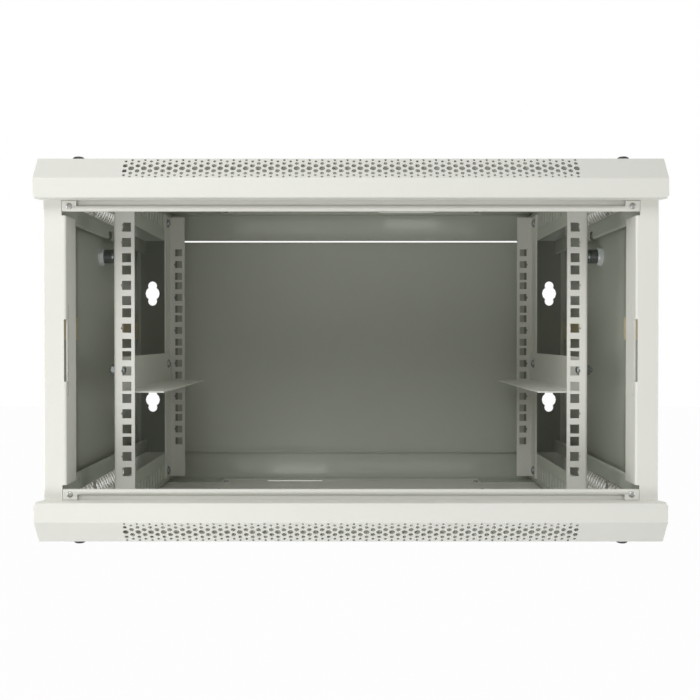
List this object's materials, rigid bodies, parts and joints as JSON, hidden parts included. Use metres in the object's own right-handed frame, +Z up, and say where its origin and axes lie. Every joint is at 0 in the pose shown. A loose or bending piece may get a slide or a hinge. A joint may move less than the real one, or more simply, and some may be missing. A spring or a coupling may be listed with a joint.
{
  "type": "wall mount network cabinet",
  "caption": "Wall mount network cabinet in light grey sheet steel, seen with its door taken off: vented chamfered covers, square-hole rack rails and lockable side panels.",
  "frame": {"origin": "middle of the wall face, half way between the covers", "axes": "+X to the right of a person facing the open front, +Z up, -Y out of the wall towards that person"},
  "size_m": [0.6, 0.45, 0.3772],
  "materials": {
    "cover_paint": "fine textured powder coat",
    "inner_paint": "fine textured powder coat",
    "zinc_plate": "dull zinc plate",
    "lock_chrome": "polished",
    "lock_nut_metal": "dark zinc plate",
    "clip_metal": "yellow passivated zinc"
  },
  "bodies": {
    "cabinet": {"top_cover": "cover_paint", "bottom_cover": "cover_paint", "cable_plate_top": "cover_paint", "cable_plate_bottom": "cover_paint", "front_crossbar_top": "cover_paint", "front_crossbar_bottom": "cover_paint", "front_upright_left": "cover_paint", "front_upright_right": "cover_paint", "rear_strip_top": "inner_paint", "rear_strip_bottom": "inner_paint", "rear_panel": "inner_paint", "wall_plate_left": "inner_paint", "wall_plate_right": "inner_paint", "side_beam_top_left": "inner_paint", "side_beam_top_right": "inner_paint", "side_beam_bottom_left": "inner_paint", "side_beam_bottom_right": "inner_paint", "side_rail_top_left": "inner_paint", "side_rail_top_right": "inner_paint", "side_rail_bottom_left": "inner_paint", "side_rail_bottom_right": "inner_paint", "rack_rail_front_left": "inner_paint", "rack_rail_front_right": "inner_paint", "rack_rail_rear_left": "inner_paint", "rack_rail_rear_right": "inner_paint", "support_rail_left": "inner_paint", "support_rail_right": "inner_paint", "cover_screws_top": "zinc_plate", "cover_screws_bottom": "zinc_plate", "cable_plate_screws_top": "zinc_plate", "cable_plate_screws_bottom": "zinc_plate", "rail_bolts": "zinc_plate", "rail_nuts": "zinc_plate", "support_bolts": "zinc_plate", "support_nuts": "zinc_plate", "frame_rivets": "zinc_plate"},
    "left_panel": {"side_panel_left": "inner_paint", "lock_barrel_left": "lock_chrome", "lock_nut_left": "lock_nut_metal", "panel_clips_left": "clip_metal"},
    "left_lock": {"lock_plug_left": "lock_chrome", "lock_cam_left": "zinc_plate", "cam_screw_left": "zinc_plate"},
    "right_panel": {"side_panel_right": "inner_paint", "lock_barrel_right": "lock_chrome", "lock_nut_right": "lock_nut_metal", "panel_clips_right": "clip_metal"},
    "right_lock": {"lock_plug_right": "lock_chrome", "lock_cam_right": "zinc_plate", "cam_screw_right": "zinc_plate"}
  },
  "joints": [
    {"name": "left_panel_tilt", "type": "hinge", "parent": "cabinet", "child": "left_panel", "pos_m": [-0.296, 0, -0.1445], "axis": [0, -1, 0], "range_deg": [0, 40]},
    {"name": "left_lock_turn", "type": "hinge", "parent": "left_panel", "child": "left_lock", "pos_m": [-0.29, -0.211, 0.108], "axis": [1, 0, 0], "range_deg": [0, 90]},
    {"name": "right_panel_tilt", "type": "hinge", "parent": "cabinet", "child": "right_panel", "pos_m": [0.296, 0, -0.1445], "axis": [0, 1, 0], "range_deg": [0, 40]},
    {"name": "right_lock_turn", "type": "hinge", "parent": "right_panel", "child": "right_lock", "pos_m": [0.29, -0.211, 0.108], "axis": [1, 0, 0], "range_deg": [0, 90]}
  ]
}
